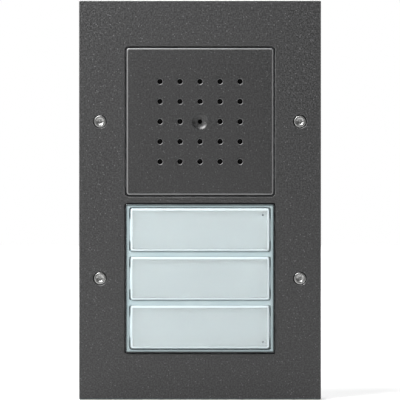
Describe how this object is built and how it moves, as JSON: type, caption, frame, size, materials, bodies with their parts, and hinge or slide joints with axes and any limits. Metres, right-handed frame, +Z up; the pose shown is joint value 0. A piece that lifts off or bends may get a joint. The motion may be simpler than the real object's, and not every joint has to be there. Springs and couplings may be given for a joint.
{
  "type": "door intercom panel",
  "caption": "Flat wall panel with a perforated voice unit above a column of wide push buttons behind clear caps, screwed over a steel carrier for round flush boxes.",
  "frame": {"origin": "middle of the panel in the plane of the wall, on the rear face of the carrier plate", "axes": "the panel faces -Y, +X to the right seen from the front, +Z up"},
  "size_m": [0.1094, 0.0366, 0.1806],
  "materials": {
    "anthracite_lacquer": "fine sand-textured metallic lacquer on cast aluminium",
    "stainless_steel": "plain turned stainless",
    "galvanised_steel": "zinc-coated sheet",
    "brass": "turned",
    "seal_rubber": "matte",
    "black_plastic": "fine moulded texture",
    "grey_plastic": "fine moulded texture",
    "mesh_fabric": "fine woven mesh",
    "clear_plastic": "clear, polished",
    "frame_plastic": "translucent blue-green, satin",
    "white_card": "paper card",
    "white_plastic": "satin",
    "board_laminate": "green solder mask",
    "chip_epoxy": "matte epoxy",
    "cone_paper": "pressed paper",
    "magnet_ferrite": "dull ferrite",
    "capsule_aluminium": "satin",
    "terminal_plastic": "satin",
    "lamp_resin": "cast resin",
    "lead_sheath": "matte sheath"
  },
  "bodies": {
    "panel": {"amplifier_chip": "chip_epoxy", "button_frame": "frame_plastic", "call_back": "grey_plastic", "call_board": "board_laminate", "call_housing": "grey_plastic", "call_plug": "black_plastic", "call_socket": "white_plastic", "capacitor": "capsule_aluminium", "card_lamp_1": "lamp_resin", "card_lamp_2": "lamp_resin", "card_lamp_3": "lamp_resin", "carrier_plate": "galvanised_steel", "cover_screw_1": "stainless_steel", "cover_screw_2": "stainless_steel", "cover_screw_3": "stainless_steel", "cover_screw_4": "stainless_steel", "cover_seal": "seal_rubber", "frame_seal": "seal_rubber", "front_plate": "anthracite_lacquer", "link_lead": "lead_sheath", "microphone_boot": "seal_rubber", "microphone_capsule": "capsule_aluminium", "rim_seal": "seal_rubber", "sound_mesh": "mesh_fabric", "spacer_sleeve_1": "brass", "spacer_sleeve_2": "brass", "spacer_sleeve_3": "brass", "spacer_sleeve_4": "brass", "speaker_baffle": "black_plastic", "speaker_basket": "galvanised_steel", "speaker_cone": "cone_paper", "speaker_gasket": "seal_rubber", "speaker_magnet": "magnet_ferrite", "switch_body_1": "chip_epoxy", "switch_body_2": "chip_epoxy", "switch_body_3": "chip_epoxy", "terminal_block": "terminal_plastic", "terminal_screw_1": "galvanised_steel", "terminal_screw_2": "galvanised_steel", "voice_back": "black_plastic", "voice_board": "board_laminate", "voice_cover": "anthracite_lacquer", "voice_housing": "black_plastic", "voice_plug": "black_plastic", "voice_socket": "white_plastic", "volume_base": "black_plastic"},
    "button_1": {"call_cap_1": "clear_plastic", "name_card_1": "white_card", "button_tray_1": "white_plastic", "switch_plunger_1": "black_plastic"},
    "button_2": {"call_cap_2": "clear_plastic", "name_card_2": "white_card", "button_tray_2": "white_plastic", "switch_plunger_2": "black_plastic"},
    "button_3": {"call_cap_3": "clear_plastic", "name_card_3": "white_card", "button_tray_3": "white_plastic", "switch_plunger_3": "black_plastic"},
    "volume": {"volume_dial": "white_plastic"}
  },
  "joints": [
    {"name": "press_1", "type": "slide", "parent": "panel", "child": "button_1", "axis": [0, 1, 0], "range_m": [0, 0.001], "stiffness_N_per_m": 1500, "springref_m": -0.0003},
    {"name": "press_2", "type": "slide", "parent": "panel", "child": "button_2", "axis": [0, 1, 0], "range_m": [0, 0.001], "stiffness_N_per_m": 1500, "springref_m": -0.0003},
    {"name": "press_3", "type": "slide", "parent": "panel", "child": "button_3", "axis": [0, 1, 0], "range_m": [0, 0.001], "stiffness_N_per_m": 1500, "springref_m": -0.0003},
    {"name": "volume_turn", "type": "hinge", "parent": "panel", "child": "volume", "pos_m": [0.014, 0.0171, 0.0325], "axis": [0, -1, 0], "range_deg": [-135, 135]}
  ]
}
